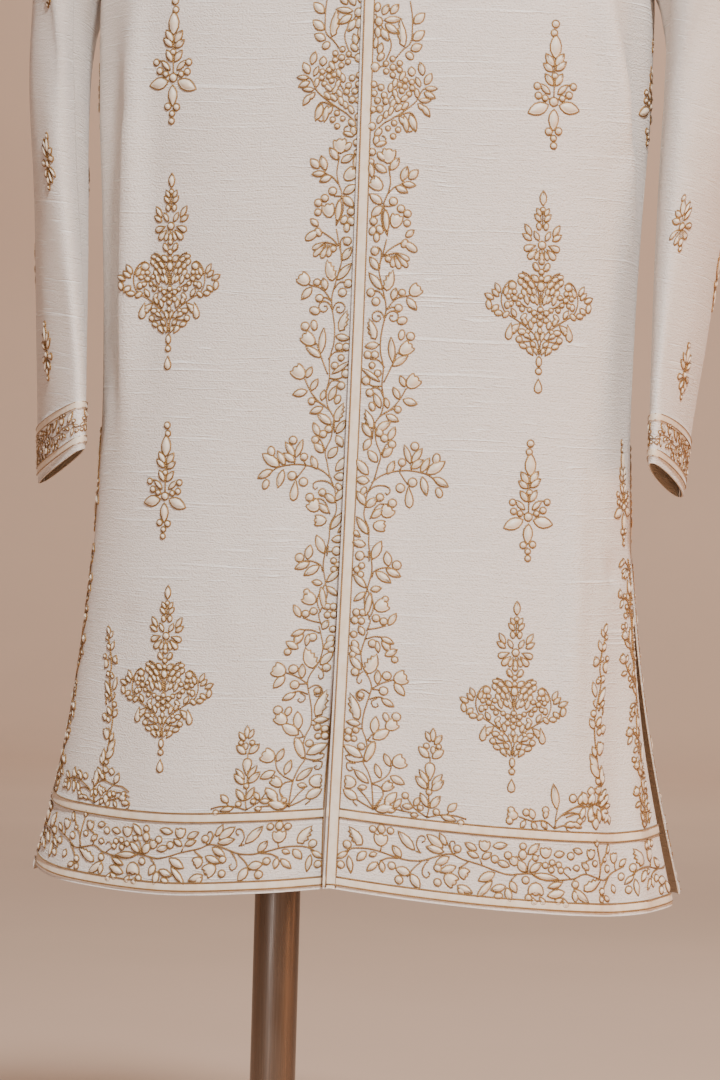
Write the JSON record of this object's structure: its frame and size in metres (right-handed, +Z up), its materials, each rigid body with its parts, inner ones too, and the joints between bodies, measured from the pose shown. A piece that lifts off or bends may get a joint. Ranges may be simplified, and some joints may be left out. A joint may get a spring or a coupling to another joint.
{
  "type": "sherwani coat on dress form",
  "caption": "Knee-length embroidered sherwani coat with a stand collar and long sleeves, worn by a limbless dress form on a pole with a round foot.",
  "frame": {"origin": "on the underside of the foot, at floor level, straight under the middle of the coat", "axes": "+Z up; the coat faces -Y; +X is the wearer's left"},
  "size_m": [0.6276, 0.4, 1.544],
  "materials": {
    "ivory_silk": "slubbed ivory raw silk with a soft sheen and gold hand embroidery",
    "form_cloth": "matte cotton jersey stretched over the form",
    "steel": "brushed steel"
  },
  "bodies": {
    "root": {"front_left_panel": "ivory_silk", "front_right_panel": "ivory_silk", "back_panel": "ivory_silk", "collar": "ivory_silk", "sleeve_left_upper": "ivory_silk", "sleeve_left_under": "ivory_silk", "sleeve_right_upper": "ivory_silk", "sleeve_right_under": "ivory_silk", "dress_form": "form_cloth", "pole_flange": "steel", "pole": "steel", "foot": "steel"}
  },
  "joints": []
}
